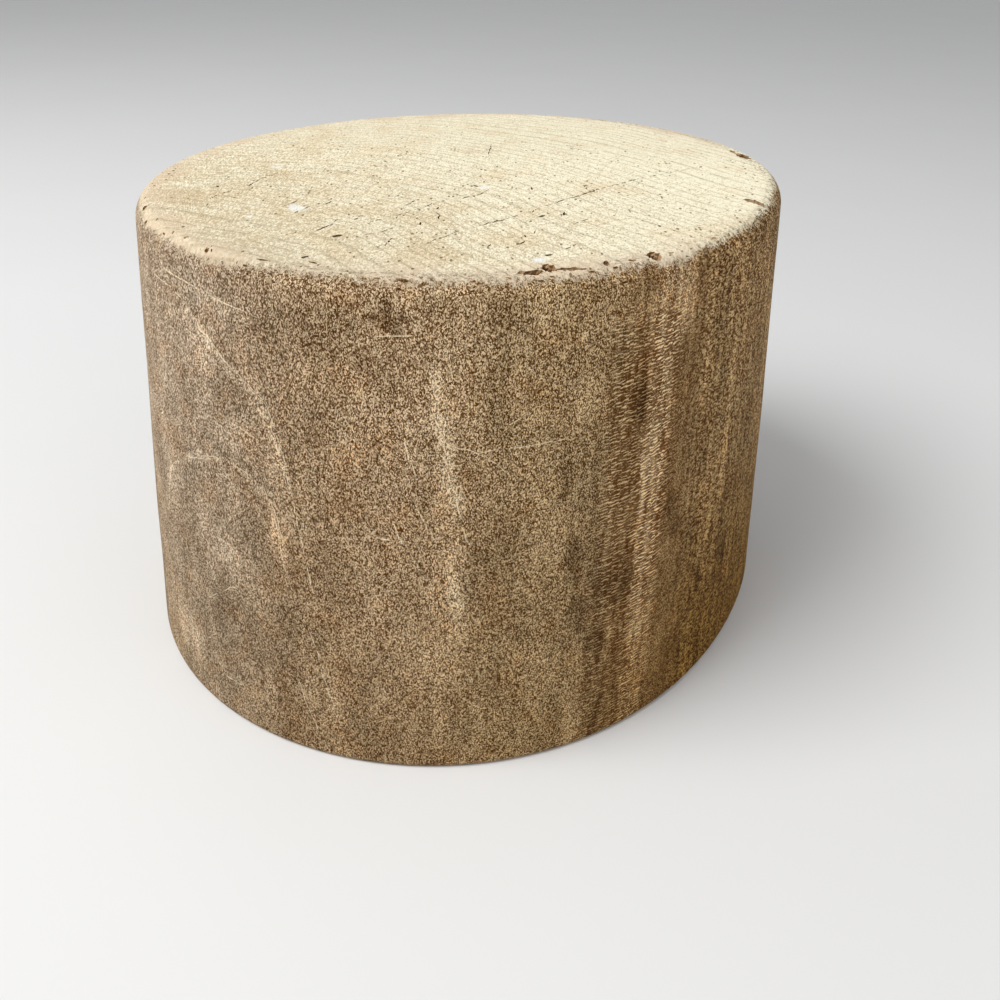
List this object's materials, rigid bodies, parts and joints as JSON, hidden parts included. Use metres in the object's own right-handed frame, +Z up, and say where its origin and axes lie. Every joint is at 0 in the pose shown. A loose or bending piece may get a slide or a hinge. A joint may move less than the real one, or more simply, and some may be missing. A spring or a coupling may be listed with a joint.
{
  "type": "hat block",
  "caption": "Flat-topped oval timber block over which a hat crown is shaped, with a metal-lined spindle socket in its base.",
  "frame": {"origin": "centre of the base's extents, on the surface the block stands on", "axes": "+Z up through the crown; the oval's long axis, the wearer's front to back, along Y; its width along X"},
  "size_m": [0.168, 0.1958, 0.114],
  "materials": {
    "timber": "bare, worn and dusty, with pale sawn end grain on the crown and handled brown side grain",
    "iron": "dull turned iron with brown patina"
  },
  "bodies": {
    "root": {"crown_block": "timber", "spindle_bush": "iron"}
  },
  "joints": []
}
